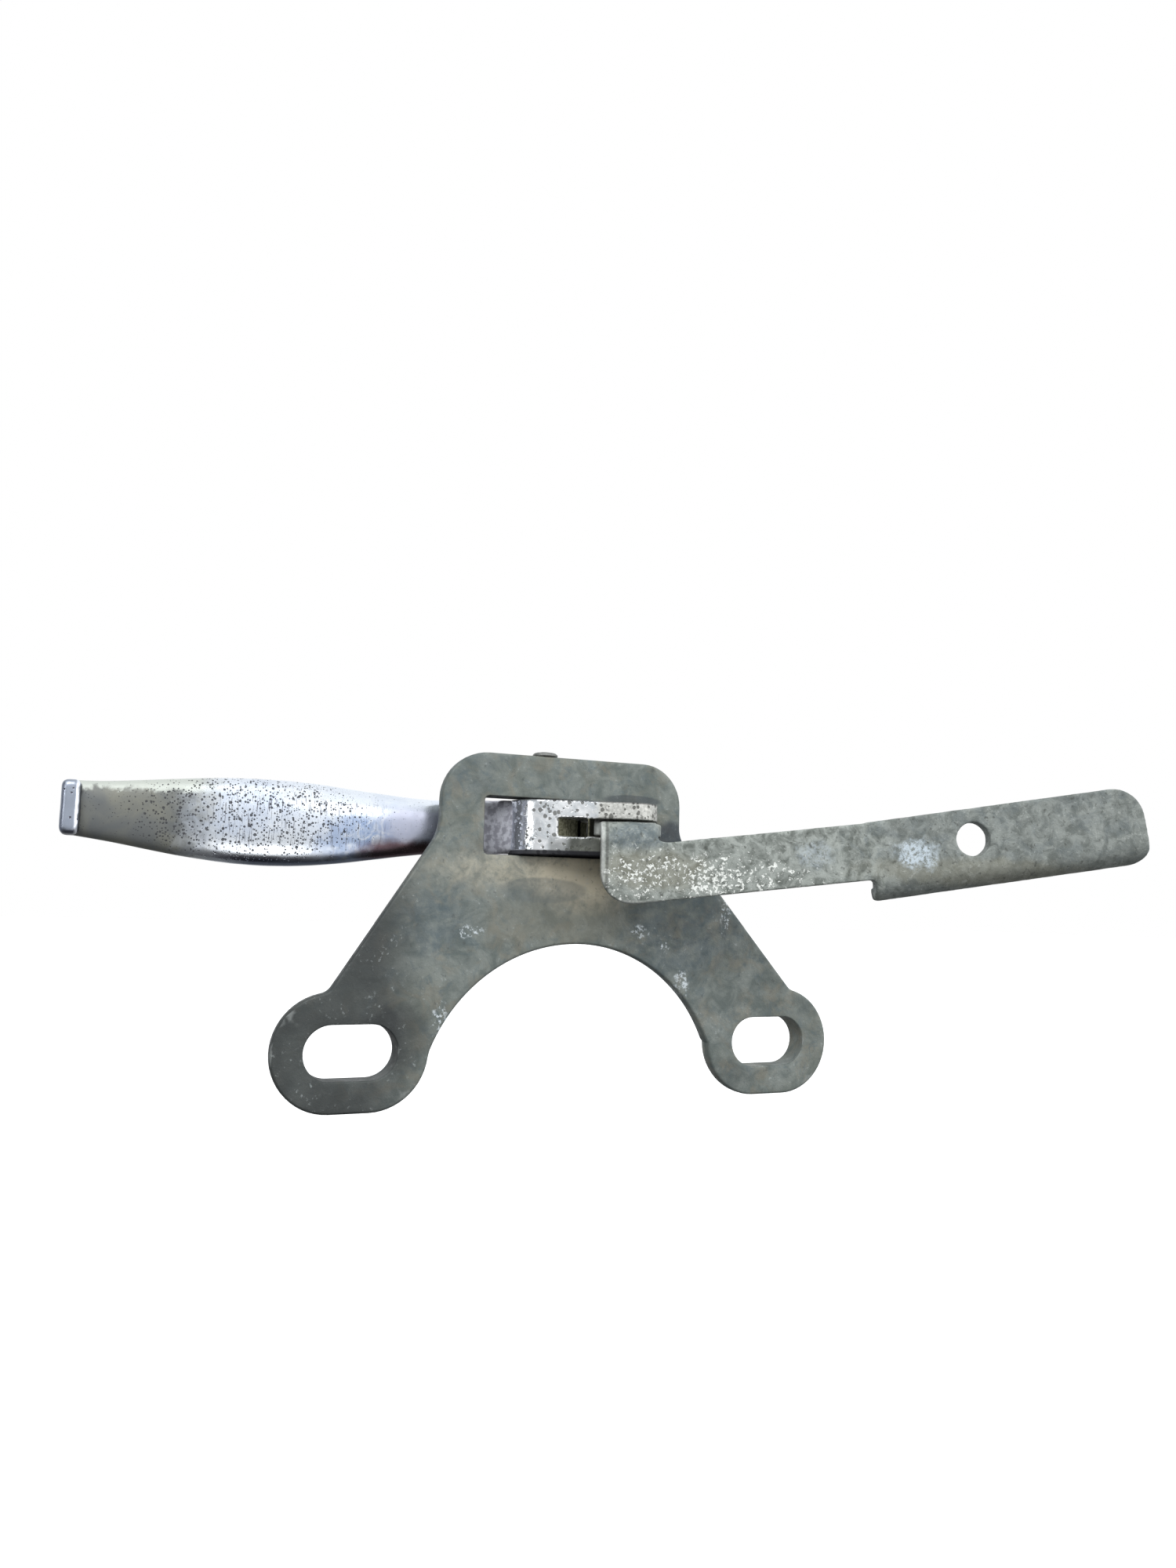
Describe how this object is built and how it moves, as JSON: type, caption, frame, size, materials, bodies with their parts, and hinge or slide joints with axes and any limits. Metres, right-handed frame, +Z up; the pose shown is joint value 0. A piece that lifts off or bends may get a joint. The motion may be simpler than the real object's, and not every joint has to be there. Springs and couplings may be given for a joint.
{
  "type": "toggle latch",
  "caption": "Slotted arch-shaped mounting plate with a chrome hand lever pivoted in its window and a flat stamped draw link pinned in the lever's fork.",
  "frame": {"origin": "on the plate's rear mounting face, midway between the ears, in the solid bridge between the window and the round relief", "axes": "+X along the plate towards the draw link, +Y out of the rear mounting face, +Z up from the ears to the block"},
  "size_m": [0.178, 0.0544, 0.0616],
  "materials": {
    "plate_zinc": "dull weathered zinc plate, mottled grey green",
    "link_zinc": "dull weathered zinc plate with white oxide",
    "lever_chrome": "polished, pitted",
    "pin_steel": "dull"
  },
  "bodies": {
    "plate": {"mounting_plate": "plate_zinc", "pivot_pin": "pin_steel"},
    "lever": {"hand_lever": "lever_chrome", "link_pin": "pin_steel"},
    "link": {"draw_link": "link_zinc"}
  },
  "joints": [
    {"name": "lever_swing", "type": "hinge", "parent": "plate", "child": "lever", "pos_m": [-0.0063, -0.00237, 0.01315], "axis": [0, 0, -1], "range_deg": [0, 100]},
    {"name": "link_swing", "type": "hinge", "parent": "lever", "child": "link", "pos_m": [0.00794, -0.00675, 0.01315], "axis": [0, 0, 1], "range_deg": [-1.5, 42]}
  ]
}
